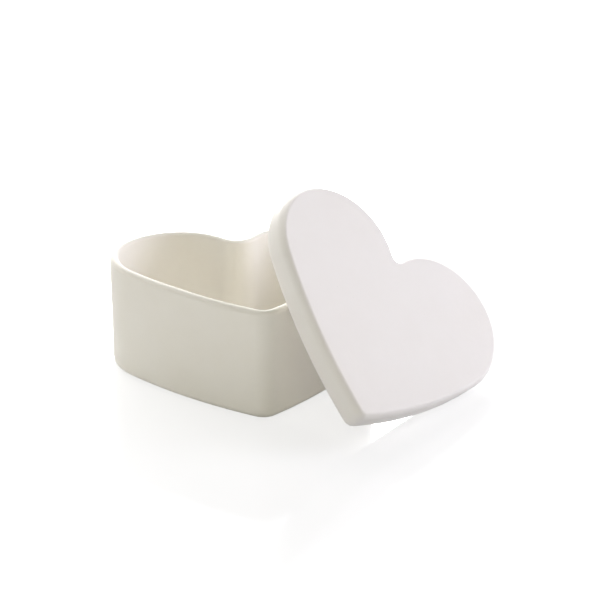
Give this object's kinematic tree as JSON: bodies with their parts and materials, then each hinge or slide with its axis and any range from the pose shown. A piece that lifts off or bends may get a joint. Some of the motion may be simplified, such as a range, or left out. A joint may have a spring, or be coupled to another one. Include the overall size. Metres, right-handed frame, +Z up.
{
  "type": "heart shaped trinket box",
  "caption": "Heart-shaped unglazed ceramic box with a loose, thick heart-shaped lid that leans against it and lifts away.",
  "frame": {"origin": "on the table under the box, half way across its width and half way along its length", "axes": "+Z up out of the box, -Y towards the tip of the box's heart, +X to the right as seen from the tip"},
  "size_m": [0.1401, 0.1153, 0.0753],
  "materials": {
    "box_bisque": "matte",
    "lid_bisque": "matte"
  },
  "bodies": {
    "box": {"box": "box_bisque"},
    "lid": {"lid": "lid_bisque"}
  },
  "joints": [
    {"name": "lid_lift", "type": "slide", "parent": "box", "child": "lid", "axis": [0, 0, 1], "range_m": [0, 0.08]}
  ]
}
